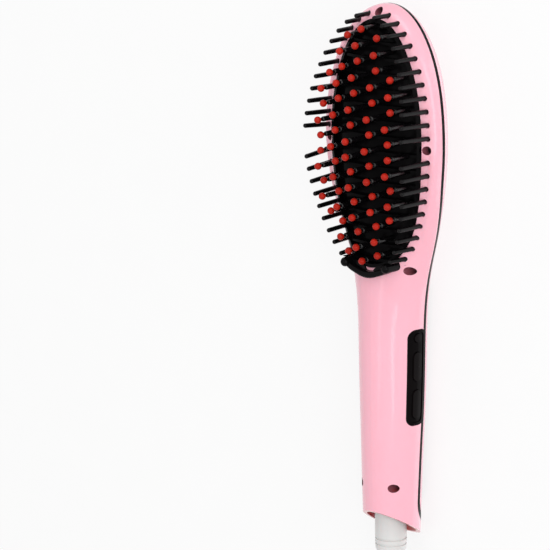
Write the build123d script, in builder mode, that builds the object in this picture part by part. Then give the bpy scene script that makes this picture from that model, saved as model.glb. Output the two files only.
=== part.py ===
from build123d import *
import os
from math import cos, hypot, radians, sin, sqrt, tan

# Heated hair-straightening brush: a paddle head with a heated bed of pins inside a row of guard
# teeth, a barrel handle with side keys and a display in its back, and a swivelling cord sleeve.
# Millimetres. X runs from the cord end to the top of the head, the pins point up (+Z), the keys
# face -Y, and the back of the brush lies on Z = 0.

# ---- Driving dimensions -------------------------------------------------------------------
AXIS_Z = 18.0  # height of the cord swivel's axis
WALL = 2.2  # housing wall

HEAD_X = 87.5  # widest section of the head
HEAD_HALF = 38.1  # half the head's width there
NOSE = 70.0  # from that section to the top of the head
NOSE_CREST = 12.4  # front face above the parting line at the head
NOSE_ANGLES = (15, 30, 45, 60, 75, 87)  # where the nose is sectioned, round its plan ellipse

# Handle, neck and head up to the widest section:
# x, half width, height of the parting line, height of the front crest, height of the back
SECTIONS = (
    (-136.0, 15.4, 15.7, 32.2, 3.6),
    (-118.0, 15.9, 15.7, 32.8, 2.8),
    (-100.0, 16.4, 15.6, 33.3, 2.0),
    (-82.0, 16.9, 15.2, 33.7, 1.2),
    (-64.0, 17.6, 14.8, 33.9, 0.5),
    (-46.0, 18.3, 14.6, 34.0, 0.1),
    (-28.0, 18.8, 14.6, 34.0, 0.05),
    (-10.0, 19.3, 14.6, 34.0, 0.1),
    (6.0, 20.9, 14.7, 34.0, 0.5),
    (21.5, 24.3, 15.3, 34.0, 0.8),
    (37.0, 29.1, 16.6, 34.0, 0.7),
    (53.5, 33.8, 19.2, 34.0, 0.4),
    (70.5, 36.9, 20.9, 34.0, 0.1),
    (HEAD_X, HEAD_HALF, 21.6, 34.0, 0.0),
)
TAIL_CUT_X = -112.5  # the slanted cord end, at the front crest
TAIL_CUT_ANGLE = 31.0  # its lean: the back reaches further than the front

# Corners (x, z) and corner radii of the line in the side view where the shells meet
PARTING = ((175.0, 17.1), (95.0, 21.7), (66.0, 20.7), (32.0, 14.4), (-10.0, 13.7), (-60.0, 13.6),
           (-119.0, 15.4), (-129.6, -8.0))
PARTING_RADII = [250, 120, 120, 400, 300, 15]
BAND = 2.6  # trim band between the front shell and the back cover

BED_NOSE, BED_TAIL, BED_HALF = 63.0, 67.5, 30.4  # plan of the opening for the pin bed, about HEAD_X
BED_X = 85.55  # middle of the pin pattern
PIN_PITCH = 8.14  # along each column
PIN_COLUMNS = (("centre", 0.0, 16), ("inner_left", 11.4, 15), ("inner_right", -11.4, 15),
               ("outer_left", 22.6, 10), ("outer_right", -22.6, 10))
PIN_EDGE = 5.0  # least distance from a pin to the edge of the bed
PIN_TOP = 54.0  # height of the tallest tip's centre
PIN_STEP = 3.2  # alternate pins are this much shorter
PIN_ROOT_R, PIN_NECK_R, TIP_R = 1.5, 1.05, 2.2
TIP_FLAT = 1.7  # seat of a tip, below its centre
PLATE_Z = 24.0  # underside of the heating plate
RIB = 1.4  # ribs across the plate

TOOTH_PITCH = 7.0
TOOTH_ROOT_R, TOOTH_TIP_R = 1.25, 1.0
TOOTH_LINE = 3.3  # from the edge of the bed out to the row of teeth
TOOTH_TOP = 48.2  # tallest tooth
TOOTH_LEAN = 3.0  # degrees, towards the middle
TOOTH_BASE_Z = 21.0
GUARD = 2.8  # thickness of the guard wall at the handle end of the row
GUARD_HALF, GUARD_TOP, POST_R = 14.0, 38.0, 2.1

PANEL_X, PANEL_LENGTH, PANEL_R = -39.75, 52.5, 4.5  # key panel in the side
PANEL_TOP, PANEL_BOTTOM = 24.0, 11.6
BEZEL = 1.7
KEY_Z = 17.6
POWER_X, POWER_R = -18.3, 2.3
PLUS_X, MINUS_X, KEY_LENGTH, KEY_WIDTH = -33.8, -54.4, 15.6, 5.4
KEY_GAP = 0.3  # round each key
KEY_TRAVEL = 0.5
KEY_FLANGE_Y = -13.8  # outer face of the flange that keeps a key in
KEY_BOARD_Y = -9.2  # outer face of the key board
SWITCH = 2.0  # height of a key switch

WINDOW_HEAD, WINDOW_TAIL = 18.5, -115.5  # ends of the display window in the back
WINDOW_HALF_HEAD, WINDOW_HALF_TAIL = 12.6, 8.6
PANE = 1.5  # thickness of the window

BOARD_TOP, BOARD = 7.4, 1.6  # main board: top face and thickness
BOARD_POSTS = (-91.5, -9.0)

SOCKET_X = -109.5, -103.0  # the swivel's socket, across the tail
SLEEVE_R = 8.5
NECK_R, FLANGE_R, STUB_R, CORD_R = 6.05, 8.3, 4.2, 2.6

# Housing screws, driven in from the front: x, y, height at which the two bosses meet
SCREWS = ((153.9, 0.0, 18.2), (85.0, 33.0, 20.4), (85.0, -33.0, 20.4), (19.3, 19.6, 14.4),
          (19.3, -19.6, 14.4), (-99.5, 10.8, 15.0), (-99.5, -10.8, 15.0))
SCREW_R, HEAD_R, RECESS_R, BOSS_R, SEAT = 1.3, 2.1, 2.25, 3.1, 2.4

UP = (Align.CENTER, Align.CENTER, Align.MIN)
DOWN = (Align.CENTER, Align.CENTER, Align.MAX)


# ---- Shared forms -------------------------------------------------------------------------
def rounded_end(along, start, end):
    """Height of an elliptic nose that begins at start, as a share of its full height."""
    return 1.0 if along <= start else sqrt(1 - ((along - start) / (end - start)) ** 2)


def stations(inset):
    """Sections of the body, each drawn in by inset: x, half width, parting, crest, back."""
    rows = [(x, half - inset, part, crest - inset, back + inset)
            for x, half, part, crest, back in SECTIONS]
    nose = NOSE - inset
    for angle in NOSE_ANGLES:
        along = nose * sin(radians(angle))
        half = (HEAD_HALF - inset) * cos(radians(angle))
        part = 18.4 + 3.2 * (1 - (along / NOSE) ** 2)
        crest = part + (NOSE_CREST - inset) * rounded_end(along, 48.0, nose)
        back = part - (part - inset) * rounded_end(along, 30.0, nose)
        rows.append((HEAD_X + along, half, part, crest, back))
    return rows


def quarter(x, part, half, rise):
    """Control points of a quarter ellipse at x, from its widest point to its crest."""
    k = 0.5523
    return [(x, half, part), (x, half, part + k * rise), (x, k * half, part + rise), (x, 0, part + rise)]


def body(inset):
    """The body as one loft of four patches: each section is two half ellipses that meet on
    their widest line. Its outlines are wires, so that the quarters stay separate."""
    outlines = []
    for x, half, part, crest, back in stations(inset):
        outlines.append(Wire([
            Edge.make_bezier(*quarter(x, part, half, crest - part)),
            Edge.make_bezier(*reversed(quarter(x, part, -half, crest - part))),
            Edge.make_bezier(*quarter(x, part, -half, back - part)),
            Edge.make_bezier(*reversed(quarter(x, part, half, back - part)))]))
    return Solid.make_loft(outlines)


def parting_side(drop, front):
    """All that lies in front of the parting line of the shells, or all behind it, with the line
    set back by drop. The line follows the widest line of the head and handle, then turns down
    round the end of the back cover."""
    route = [(x, z - drop) for x, z in PARTING[:-2]]
    route += [(PARTING[-2][0] + 0.6 * drop, PARTING[-2][1] - drop), (PARTING[-1][0] + drop, PARTING[-1][1])]
    (start_x, start_z), (end_x, end_z) = route[0], route[-1]
    far = 70.0 if front else -30.0
    with BuildPart() as slab:
        with BuildSketch(Plane.XZ):
            with BuildLine():
                FilletPolyline(*route, radius=PARTING_RADII)
                if front:
                    Polyline((start_x, start_z), (start_x, far), (-150.0, far), (-150.0, end_z),
                             (end_x, end_z))
                else:
                    Polyline((start_x, start_z), (start_x, far), (end_x, far), (end_x, end_z))
            make_face()
        extrude(amount=60.0, both=True)
    return slab.part


def bed_plan(grow, low, high):
    """A slab with the plan of the bed, drawn out by grow."""
    with BuildPart() as slab:
        with BuildSketch(Plane.XY.offset(low)):
            with BuildLine():
                EllipticalCenterArc((HEAD_X, 0), BED_NOSE + grow, BED_HALF + grow, -90, arc_size=180)
                EllipticalCenterArc((HEAD_X, 0), BED_TAIL + grow, BED_HALF + grow, 90, arc_size=180)
            make_face()
        extrude(amount=high - low)
    return slab.part


def bed_half_width(x):
    """Half the bed's width at x."""
    reach = BED_NOSE if x > HEAD_X else BED_TAIL
    return BED_HALF * sqrt(max(0.0, 1 - ((x - HEAD_X) / reach) ** 2))


def panel_slab(margin):
    """Outline of the key panel in the -Y side, drawn in by margin."""
    height = PANEL_TOP - PANEL_BOTTOM
    with BuildPart() as slab:
        with BuildSketch(Plane.XZ.offset(8.0)):
            with Locations((PANEL_X, PANEL_TOP - height / 2)):
                RectangleRounded(PANEL_LENGTH - 2 * margin, height - 2 * margin, PANEL_R - margin)
        extrude(amount=22.0)
    return slab.part


def window_slab(margin):
    """Outline of the display window in the back: an arched head, sides that close slightly."""
    head, tail = WINDOW_HALF_HEAD - margin, WINDOW_HALF_TAIL - margin
    arch_x, round_x = WINDOW_HEAD - 17.0, WINDOW_TAIL + WINDOW_HALF_TAIL
    with BuildPart() as slab:
        with BuildSketch(Plane.XY.offset(-4.0)):
            with BuildLine():
                EllipticalCenterArc((arch_x, 0), 17.0 - margin, head, -90, arc_size=180)
                Line((arch_x, head), (round_x, tail))
                ThreePointArc((round_x, tail), (round_x - tail, 0), (round_x, -tail))
                Line((round_x, -tail), (arch_x, -head))
            make_face()
        extrude(amount=16.0)
    return slab.part


OUTER, INNER = body(0.0), body(WALL)
CORE = body(WALL + 2.0)  # all that lies deeper than the strips under the shell's rim
FRONT_OF_SEAM, BEHIND_SEAM = parting_side(0.0, True), parting_side(0.0, False)
FRONT_OF_BAND, BEHIND_BAND = parting_side(BAND, True), parting_side(BAND, False)


# ---- Guard teeth --------------------------------------------------------------------------
def tooth_places(side):
    """Roots of one side's teeth, at an even pitch along the row: eleven towards the nose from
    the screw at the widest section, then nine towards the handle."""
    with BuildLine():
        nose = EllipticalCenterArc((HEAD_X, 0), BED_NOSE + TOOTH_LINE, BED_HALF + TOOTH_LINE,
                                   90, arc_size=-90)
        tail = EllipticalCenterArc((HEAD_X, 0), BED_TAIL + TOOTH_LINE, BED_HALF + TOOTH_LINE,
                                   90, arc_size=90)
    upper = [nose.position_at(3.6 + TOOTH_PITCH * i, PositionMode.LENGTH) for i in range(11)]
    lower = [tail.position_at(9.0 + TOOTH_PITCH * i, PositionMode.LENGTH) for i in range(9)]
    return [(p.X, side * p.Y) for p in upper], [(p.X, side * p.Y) for p in lower]


def tooth_lean(y):
    return TOOTH_LEAN if y > 0 else -TOOTH_LEAN


def teeth(places):
    """Round-tipped tapered teeth at these roots, tallest abreast of the middle of the bed."""
    with BuildPart() as row:
        for x, y in places:
            top = TOOTH_TOP - 0.18 * (hypot(x - HEAD_X, 8.0) - 8.0)
            height = top - TOOTH_BASE_Z - TOOTH_TIP_R
            with Locations(Location((x, y, TOOTH_BASE_Z), (tooth_lean(y), 0, 0))):
                Cone(TOOTH_ROOT_R, TOOTH_TIP_R, height, align=UP)
                with Locations((0, 0, height)):
                    Sphere(TOOTH_TIP_R)
    return row.part


def guard_wall(clear=0.0):
    """The curved wall that closes the row of teeth at the handle end, with a post at each end."""
    half = GUARD / 2 + clear
    post_x = HEAD_X - (BED_TAIL + TOOTH_LINE) * sqrt(1 - (GUARD_HALF / (BED_HALF + TOOTH_LINE)) ** 2)
    with BuildPart() as wall_form:
        add(bed_plan(TOOTH_LINE + half, TOOTH_BASE_Z, GUARD_TOP))
        add(bed_plan(TOOTH_LINE - half, TOOTH_BASE_Z, GUARD_TOP), mode=Mode.SUBTRACT)
        with Locations((HEAD_X - BED_TAIL, 0, 30.0)):
            Box(20.0, 2 * GUARD_HALF, 30.0, mode=Mode.INTERSECT)
        with Locations((post_x, GUARD_HALF, TOOTH_BASE_Z), (post_x, -GUARD_HALF, TOOTH_BASE_Z)):
            Cylinder(POST_R + clear, GUARD_TOP - TOOTH_BASE_Z - 1.0, align=UP)
    return wall_form.part


LEFT_UPPER, LEFT_LOWER = tooth_places(1)
RIGHT_UPPER, RIGHT_LOWER = tooth_places(-1)

with BuildPart() as carrier:
    add(body(WALL + 0.05))
    add(CORE, mode=Mode.SUBTRACT)
    add(bed_plan(TOOTH_LINE + 2.6, 16.0, 40.0), mode=Mode.INTERSECT)
    add(bed_plan(TOOTH_LINE - 2.5, 16.0, 40.0), mode=Mode.SUBTRACT)
    add(BEHIND_SEAM, mode=Mode.SUBTRACT)
    for x, y, _ in SCREWS[:5]:
        with Locations((x, y, 20.0)):
            Cylinder(BOSS_R + 0.5, 60.0, mode=Mode.SUBTRACT)


def comb_strip(places, x_range, y_range, extra=None):
    """The strip under the shell's rim, between these bounds, with the teeth it carries."""
    with BuildPart() as strip:
        add(teeth(places))
        if extra:
            add(extra)
        add(CORE, mode=Mode.SUBTRACT)
        with BuildPart(mode=Mode.PRIVATE) as keep:
            with Locations(((x_range[0] + x_range[1]) / 2, (y_range[0] + y_range[1]) / 2, 25.0)):
                Box(x_range[1] - x_range[0], y_range[1] - y_range[0], 40.0)
            add(carrier.part, mode=Mode.INTERSECT)
        add(keep.part)
    return strip.part


comb_left = comb_strip(LEFT_UPPER, (87.8, 160.0), (4.2, 40.0))
comb_right = comb_strip(RIGHT_UPPER, (87.8, 160.0), (-40.0, -4.2))
comb_lower = comb_strip(LEFT_LOWER + RIGHT_LOWER, (10.0, 82.0), (-40.0, 40.0), guard_wall())


# ---- Housing: front shell, trim band and back cover ---------------------------------------
def bosses(front):
    """Screw bosses on one side of the faces that meet, clipped to the inside of the wall."""
    with BuildPart() as group:
        for x, y, seam in SCREWS:
            with Locations((x, y, seam)):
                Cylinder(BOSS_R, 30.0, align=UP if front else DOWN)
        if front:
            with Locations((BOARD_POSTS[0], 0, BOARD_TOP), (BOARD_POSTS[1], 0, BOARD_TOP)):
                Cylinder(2.5, 30.0, align=UP)
        add(INNER, mode=Mode.INTERSECT)
    return group.part


with BuildPart() as wall:
    add(OUTER)
    add(INNER, mode=Mode.SUBTRACT)

with BuildPart() as tail_cut:
    slope = tan(radians(TAIL_CUT_ANGLE))
    with BuildSketch(Plane.XZ):
        with BuildLine():
            Polyline((TAIL_CUT_X + 6 * slope, 40.0), (TAIL_CUT_X - 40 * slope, -6.0), (-150.0, -6.0),
                     (-150.0, 40.0), close=True)
        make_face()
    extrude(amount=30.0, both=True)

panel_wall = wall.part & panel_slab(0.0)
pane_recess = window_slab(0.0) - body(PANE)
pane = OUTER & window_slab(0.1)
pane -= body(PANE)

with BuildPart() as shell_holes:
    for side, places in ((1, LEFT_UPPER + LEFT_LOWER), (-1, RIGHT_UPPER + RIGHT_LOWER)):
        with Locations([Location((x, y, TOOTH_BASE_Z), (side * TOOTH_LEAN, 0, 0)) for x, y in places]):
            Cylinder(TOOTH_ROOT_R + 0.2, 20.0, align=UP)
    add(guard_wall(clear=0.1))
    with Locations([(x, y, seam + SEAT) for x, y, seam in SCREWS]):
        Cylinder(RECESS_R, 20.0, align=UP)
    with Locations([(x, y, seam - 1.0) for x, y, seam in SCREWS]):
        Cylinder(SCREW_R + 0.2, 10.0, align=UP)
    with Locations([(x, 0, BOARD_TOP) for x in BOARD_POSTS]):
        Cylinder(1.0, 7.0, align=UP)
    add(tail_cut.part)
    add(panel_slab(0.0))

with BuildPart() as front_shell:
    add(wall.part)
    add(BEHIND_SEAM, mode=Mode.SUBTRACT)
    add(bosses(front=True))
    add(bed_plan(0.1, 16.0, 40.0), mode=Mode.SUBTRACT)
    add(shell_holes.part, mode=Mode.SUBTRACT)

with BuildPart() as trim_band:
    add(wall.part)
    add(BEHIND_BAND, mode=Mode.SUBTRACT)
    add(FRONT_OF_SEAM, mode=Mode.SUBTRACT)
    add(panel_wall)
    add(panel_slab(BEZEL), mode=Mode.SUBTRACT)
    with Locations([(x, y, seam) for x, y, seam in SCREWS]):
        Cylinder(SCREW_R + 0.3, 16.0, mode=Mode.SUBTRACT)

with BuildPart() as back_cover:
    add(wall.part)
    add(FRONT_OF_BAND, mode=Mode.SUBTRACT)
    add(bosses(front=False))
    add(pane_recess, mode=Mode.SUBTRACT)
    add(window_slab(PANE), mode=Mode.SUBTRACT)
    with Locations([(x, y, seam) for x, y, seam in SCREWS]):
        Cylinder(SCREW_R, 5.4, align=DOWN, mode=Mode.SUBTRACT)

with BuildPart() as display_window:
    add(pane)

with BuildPart() as housing_screws:
    for x, y, seam in SCREWS:
        with Locations((x, y, seam + SEAT)):
            Cylinder(HEAD_R, 1.8, align=UP)
            Cylinder(SCREW_R, 7.0, align=DOWN)


# ---- Heated bed ---------------------------------------------------------------------------
RIB_XS = [BED_X + PIN_PITCH * (i - 7.5) for i in range(16)]

with BuildPart() as rib_form:
    with Locations([(x, 0, PLATE_Z) for x in RIB_XS]):
        Box(RIB, 2 * BED_HALF, 14.0, align=UP)
    add(body(0.3), mode=Mode.INTERSECT)

with BuildPart() as heating_plate:
    add(body(3.0))
    add(rib_form.part)
    add(bed_plan(-2.2, PLATE_Z, 40.0), mode=Mode.INTERSECT)
    with Locations((BED_X, 0, PLATE_Z)):
        Box(92.2, 16.2, 2.6, align=UP, mode=Mode.SUBTRACT)

with BuildPart() as bed_frame:
    add(body(-0.5))
    add(bed_plan(0.0, 22.0, 40.0), mode=Mode.INTERSECT)
    add(bed_plan(-2.0, 24.0, 41.0), mode=Mode.SUBTRACT)
    add(bed_plan(-5.0, 21.0, 25.0), mode=Mode.SUBTRACT)
    with BuildPart(mode=Mode.PRIVATE) as flange:
        add(body(WALL + 2.05))
        add(body(WALL + 4.0), mode=Mode.SUBTRACT)
        add(bed_plan(4.5, 16.0, 40.0), mode=Mode.INTERSECT)
        add(bed_plan(-0.5, 16.0, 40.0), mode=Mode.SUBTRACT)
        add(BEHIND_SEAM, mode=Mode.SUBTRACT)
    add(flange.part)
    for x, y, _ in SCREWS[:5]:
        with Locations((x, y, 20.0)):
            Cylinder(BOSS_R + 0.4, 60.0, mode=Mode.SUBTRACT)


def pin_places(column_y, count):
    """One column of pins: the end pins draw in with the edge of the bed, every other one is low."""
    places = []
    for i in range(count):
        x = BED_X + PIN_PITCH * (i - (count - 1) / 2)
        y = min(abs(column_y), bed_half_width(x) - PIN_EDGE)
        low = PIN_STEP if min(i, count - 1 - i) % 2 == 0 else 0.0
        top = PIN_TOP - 0.19 * (hypot(x - BED_X, 10.0) - 10.0) - 0.16 * y - low
        places.append((x, y if column_y > 0 else -y, top))
    return places


def pin_column(places):
    with BuildPart() as column:
        for x, y, top in places:
            with Locations((x, y, PLATE_Z + 1.0)):
                Cone(PIN_ROOT_R, PIN_NECK_R, top - TIP_FLAT - PLATE_Z - 1.0, align=UP)
        add(heating_plate.part, mode=Mode.SUBTRACT)
        add(body(3.5), mode=Mode.SUBTRACT)
    return column.part


def tip_column(places):
    with BuildPart() as column:
        for place in places:
            with Locations(place):
                Sphere(TIP_R)
            with Locations((place[0], place[1], place[2] - TIP_FLAT)):
                Cylinder(TIP_R, 2.0, align=DOWN, mode=Mode.SUBTRACT)
    return column.part


pins, tips = {}, {}
for column_name, column_y, column_count in PIN_COLUMNS:
    column_places = pin_places(column_y, column_count)
    pins[column_name], tips[column_name] = pin_column(column_places), tip_column(column_places)

with BuildPart() as heater_element:
    with Locations((BED_X, 0, PLATE_Z + 0.4)):
        Box(90.0, 14.0, 2.2, align=UP)

with BuildPart() as mica_sheet:
    with Locations((BED_X, 0, PLATE_Z)):
        Box(92.0, 16.0, 0.4, align=UP)

with BuildPart() as heater_clamp:
    with Locations((BED_X, 0, PLATE_Z)):
        Box(112.0, 22.0, 1.4, align=DOWN)
    fillet(heater_clamp.edges().filter_by(Axis.Z), radius=3.0)

CLAMP_SCREWS = [(BED_X - 51.5, 0.0), (BED_X + 51.5, 0.0)]
LEDGE_SCREWS = [(46.0, 20.2), (46.0, -20.2), (126.0, 20.2), (126.0, -20.2)]

for piece, places in ((heater_clamp, CLAMP_SCREWS), (bed_frame, LEDGE_SCREWS),
                      (heating_plate, CLAMP_SCREWS + LEDGE_SCREWS)):
    with piece:
        with Locations([(x, y, PLATE_Z + 3.0) for x, y in places]):
            Cylinder(1.2, 6.0, align=DOWN, mode=Mode.SUBTRACT)

with BuildPart() as plate_screws:
    with Locations([(x, y, PLATE_Z - 1.4) for x, y in CLAMP_SCREWS]):
        Cylinder(1.2, 4.4, align=UP)
        Cylinder(2.1, 1.6, align=DOWN)
    with Locations([(x, y, PLATE_Z - 2.0) for x, y in LEDGE_SCREWS]):
        Cylinder(1.2, 5.0, align=UP)
        Cylinder(2.1, 1.6, align=DOWN)

with BuildPart() as thermistor:
    with BuildSketch(Plane.YZ.offset(BED_X + 22.0)):
        with Locations((6.0, PLATE_Z - 1.4 - 1.3)):
            Circle(1.3)
    extrude(amount=6.0)

with BuildPart() as thermal_fuse:
    with BuildSketch(Plane.YZ.offset(BED_X - 30.0)):
        with Locations((0.0, PLATE_Z - 1.4 - 2.0)):
            Circle(2.0)
    extrude(amount=11.0)


# ---- Key panel and keys -------------------------------------------------------------------
def key_outline(margin):
    """The three keys' outlines in the side, as slabs grown by margin."""
    with BuildPart() as slab:
        with BuildSketch(Plane.XZ.offset(5.0)):
            with Locations((POWER_X, KEY_Z)):
                Circle(POWER_R + margin)
            with Locations((PLUS_X, KEY_Z), (MINUS_X, KEY_Z)):
                SlotOverall(KEY_LENGTH + 2 * margin, KEY_WIDTH + 2 * margin)
        extrude(amount=20.0)
    return slab.part


with BuildPart() as key_panel:
    add(body(0.5))
    add(body(WALL), mode=Mode.SUBTRACT)
    add(panel_slab(BEZEL + 0.05), mode=Mode.INTERSECT)
    with BuildPart(mode=Mode.PRIVATE) as panel_posts:
        with BuildSketch(Plane.XZ.offset(-KEY_BOARD_Y)):
            with Locations((-23.4, KEY_Z), (-44.1, KEY_Z)):
                Circle(1.0)
        extrude(amount=8.0)
        add(body(1.6), mode=Mode.INTERSECT)
    add(panel_posts.part)
    add(key_outline(KEY_GAP), mode=Mode.SUBTRACT)


def key(x, long_key):
    """A key whose face follows the side, with a flange behind the panel and a stem."""
    with BuildPart() as button:
        for margin, near, far in ((0.0, -KEY_FLANGE_Y, 22.0), (0.9, -KEY_FLANGE_Y - 1.0, -KEY_FLANGE_Y)):
            with BuildSketch(Plane.XZ.offset(near)):
                with Locations((x, KEY_Z)):
                    if long_key:
                        SlotOverall(KEY_LENGTH + 2 * margin, KEY_WIDTH + 2 * margin)
                    else:
                        Circle(POWER_R + margin)
            extrude(amount=far - near)
        add(body(-0.25), mode=Mode.INTERSECT)
        reach = -KEY_BOARD_Y + SWITCH + KEY_TRAVEL + 0.05
        with BuildSketch(Plane.XZ.offset(reach)):
            with Locations((x, KEY_Z)):
                Circle(1.0)
        extrude(amount=-KEY_FLANGE_Y - 1.0 - reach)
    return button.part


power_button, plus_button, minus_button = key(POWER_X, False), key(PLUS_X, True), key(MINUS_X, True)

with BuildPart() as key_board:
    with BuildSketch(Plane.XZ.offset(-KEY_BOARD_Y)):
        with Locations((PANEL_X, KEY_Z)):
            Rectangle(51.0, 9.4)
    extrude(amount=-1.2)

with BuildPart() as key_switches:
    with BuildSketch(Plane.XZ.offset(-KEY_BOARD_Y)):
        with Locations((POWER_X, KEY_Z), (PLUS_X, KEY_Z), (MINUS_X, KEY_Z)):
            Rectangle(4.5, 4.5)
    extrude(amount=SWITCH - 0.6)
    with BuildSketch(Plane.XZ.offset(-KEY_BOARD_Y + SWITCH - 0.6)):
        with Locations((POWER_X, KEY_Z), (PLUS_X, KEY_Z), (MINUS_X, KEY_Z)):
            Circle(1.2)
    extrude(amount=0.6)


# ---- Main board in the handle -------------------------------------------------------------
with BuildPart() as main_board:
    with Locations((-53.5, 0, BOARD_TOP)):
        Box(97.0, 14.0, BOARD, align=DOWN)
    with Locations([(x, 0, BOARD_TOP) for x in BOARD_POSTS]):
        Cylinder(1.0, BOARD, align=DOWN, mode=Mode.SUBTRACT)

with BuildPart() as board_screws:
    with Locations([(x, 0, BOARD_TOP - BOARD) for x in BOARD_POSTS]):
        Cylinder(1.0, BOARD + 5.0, align=UP)
        Cylinder(1.9, 1.4, align=DOWN)

with BuildPart() as display_module:
    with Locations((-40.0, 0, BOARD_TOP - BOARD)):
        Box(24.0, 11.0, 2.6, align=DOWN)

with BuildPart() as power_supply:
    with Locations((-77.0, 0, BOARD_TOP)):
        Box(19.0, 12.0, 9.0, align=UP)
    fillet(power_supply.edges().filter_by(Axis.Z), radius=1.0)

with BuildPart() as capacitor:
    with BuildSketch(Plane.YZ.offset(-65.0)):
        with Locations((3.0, BOARD_TOP + 4.0)):
            Circle(4.0)
    extrude(amount=15.0)

with BuildPart() as triac:
    with Locations((-40.0, 2.0, BOARD_TOP)):
        Box(4.6, 10.0, 9.0, align=UP)
    with Locations((-37.2, 2.0, BOARD_TOP + 4.0)):
        Box(1.0, 10.0, 12.0, align=UP)

with BuildPart() as microcontroller:
    with Locations((-25.0, 1.0, BOARD_TOP)):
        Box(9.0, 9.0, 1.4, align=UP)


# ---- Cord swivel --------------------------------------------------------------------------
def turned(profile):
    """A solid of revolution about the swivel's axis, from points (x, radius)."""
    with BuildPart() as solid:
        with BuildSketch(Plane.XZ):
            with BuildLine():
                Polyline(*[(x, AXIS_Z + r) for x, r in profile], close=True)
            make_face()
        revolve(axis=Axis((0, 0, AXIS_Z), (1, 0, 0)))
    return solid.part


with BuildPart() as swivel_socket:
    with Locations(((SOCKET_X[0] + SOCKET_X[1]) / 2, 0, AXIS_Z)):
        Box(SOCKET_X[1] - SOCKET_X[0], 60.0, 60.0)
    add(INNER, mode=Mode.INTERSECT)
    add(turned([(-112.0, 0.0), (-112.0, 6.1), (-107.0, 6.1), (-107.0, 8.6), (-104.4, 8.6),
                (-104.4, 10.6), (-100.0, 10.6), (-100.0, 0.0)]), mode=Mode.SUBTRACT)

swivel_retainer = turned([(-104.4, 6.5), (-104.4, 10.6), (-103.0, 10.6), (-103.0, 6.5)])

swivel_sleeve = turned([
    (-96.0, CORD_R), (-96.0, STUB_R), (-104.7, STUB_R), (-104.7, FLANGE_R), (-106.7, FLANGE_R),
    (-106.7, NECK_R), (-110.1, NECK_R), (-110.1, SLEEVE_R - 0.4), (-110.5, SLEEVE_R),
    (-129.9, SLEEVE_R), (-130.1, SLEEVE_R - 0.7), (-130.9, SLEEVE_R - 0.7), (-131.1, SLEEVE_R),
    (-132.9, SLEEVE_R), (-133.1, SLEEVE_R - 0.7), (-133.9, SLEEVE_R - 0.7), (-134.1, SLEEVE_R - 0.1),
    (-136.4, SLEEVE_R - 0.3), (-140.5, 6.3), (-143.0, 5.6), (-143.0, 4.9), (-144.2, 4.9),
    (-144.2, 5.4), (-146.6, 5.3), (-146.6, 4.6), (-147.8, 4.6), (-147.8, 5.1), (-150.2, 5.0),
    (-150.2, 4.3), (-151.4, 4.3), (-151.4, 4.8), (-157.4, 4.5), (-157.4, CORD_R)])

with BuildPart() as slip_rings:
    for ring_x in (-101.2, -97.9):
        add(turned([(ring_x, STUB_R), (ring_x, 5.0), (ring_x + 1.6, 5.0), (ring_x + 1.6, STUB_R)]))

with BuildPart() as brush_contacts:
    with Locations((-100.4, 0, BOARD_TOP), (-97.1, 0, BOARD_TOP)):
        Box(1.2, 3.0, AXIS_Z - 5.05 - BOARD_TOP, align=UP)


# ---- Output -------------------------------------------------------------------------------
PIECES = {
    "front_shell": front_shell.part, "trim_band": trim_band.part, "back_cover": back_cover.part,
    "display_window": display_window.part, "housing_screws": housing_screws.part,
    "comb_left": comb_left, "comb_right": comb_right, "comb_lower": comb_lower,
    "bed_frame": bed_frame.part, "heating_plate": heating_plate.part,
    "heater_element": heater_element.part, "mica_sheet": mica_sheet.part,
    "heater_clamp": heater_clamp.part, "plate_screws": plate_screws.part,
    "thermistor": thermistor.part, "thermal_fuse": thermal_fuse.part,
    "key_panel": key_panel.part, "power_button": power_button, "plus_button": plus_button,
    "minus_button": minus_button, "key_board": key_board.part, "key_switches": key_switches.part,
    "main_board": main_board.part, "board_screws": board_screws.part,
    "display_module": display_module.part, "power_supply": power_supply.part,
    "capacitor": capacitor.part, "triac": triac.part, "microcontroller": microcontroller.part,
    "swivel_socket": swivel_socket.part, "swivel_retainer": swivel_retainer,
    "swivel_sleeve": swivel_sleeve, "slip_rings": slip_rings.part,
    "brush_contacts": brush_contacts.part,
}
for column_name in pins:
    PIECES["pins_" + column_name] = pins[column_name]
    PIECES["tips_" + column_name] = tips[column_name]

os.makedirs("parts", exist_ok=True)
for name, shape in PIECES.items():
    shape.label = name
    export_step(shape, "parts/" + name + ".step")
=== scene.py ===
import math

import numpy as np
import bpy
from mathutils import Matrix, Vector


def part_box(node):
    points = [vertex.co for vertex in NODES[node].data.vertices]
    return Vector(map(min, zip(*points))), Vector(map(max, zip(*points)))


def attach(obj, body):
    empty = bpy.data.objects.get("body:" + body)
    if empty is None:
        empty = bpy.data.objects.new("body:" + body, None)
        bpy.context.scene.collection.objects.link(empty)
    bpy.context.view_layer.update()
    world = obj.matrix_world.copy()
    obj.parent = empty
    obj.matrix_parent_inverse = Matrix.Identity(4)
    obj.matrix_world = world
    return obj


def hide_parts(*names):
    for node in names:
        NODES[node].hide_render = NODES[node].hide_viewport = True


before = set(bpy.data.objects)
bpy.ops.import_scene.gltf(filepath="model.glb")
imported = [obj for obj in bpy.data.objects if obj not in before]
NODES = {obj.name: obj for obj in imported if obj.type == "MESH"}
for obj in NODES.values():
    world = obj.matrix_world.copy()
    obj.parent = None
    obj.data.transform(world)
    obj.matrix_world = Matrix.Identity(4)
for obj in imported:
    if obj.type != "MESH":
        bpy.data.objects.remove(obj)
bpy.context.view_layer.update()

bl_info = {
    "name": "Heated Hair Brush",
    "version": (1, 0, 0),
    "blender": (4, 5, 0),
    "location": "3D View > Sidebar > Hair Brush",
    "description": "Finishes, small fittings and studio for a heated hair-straightening brush",
    "category": "Object",
}

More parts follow.
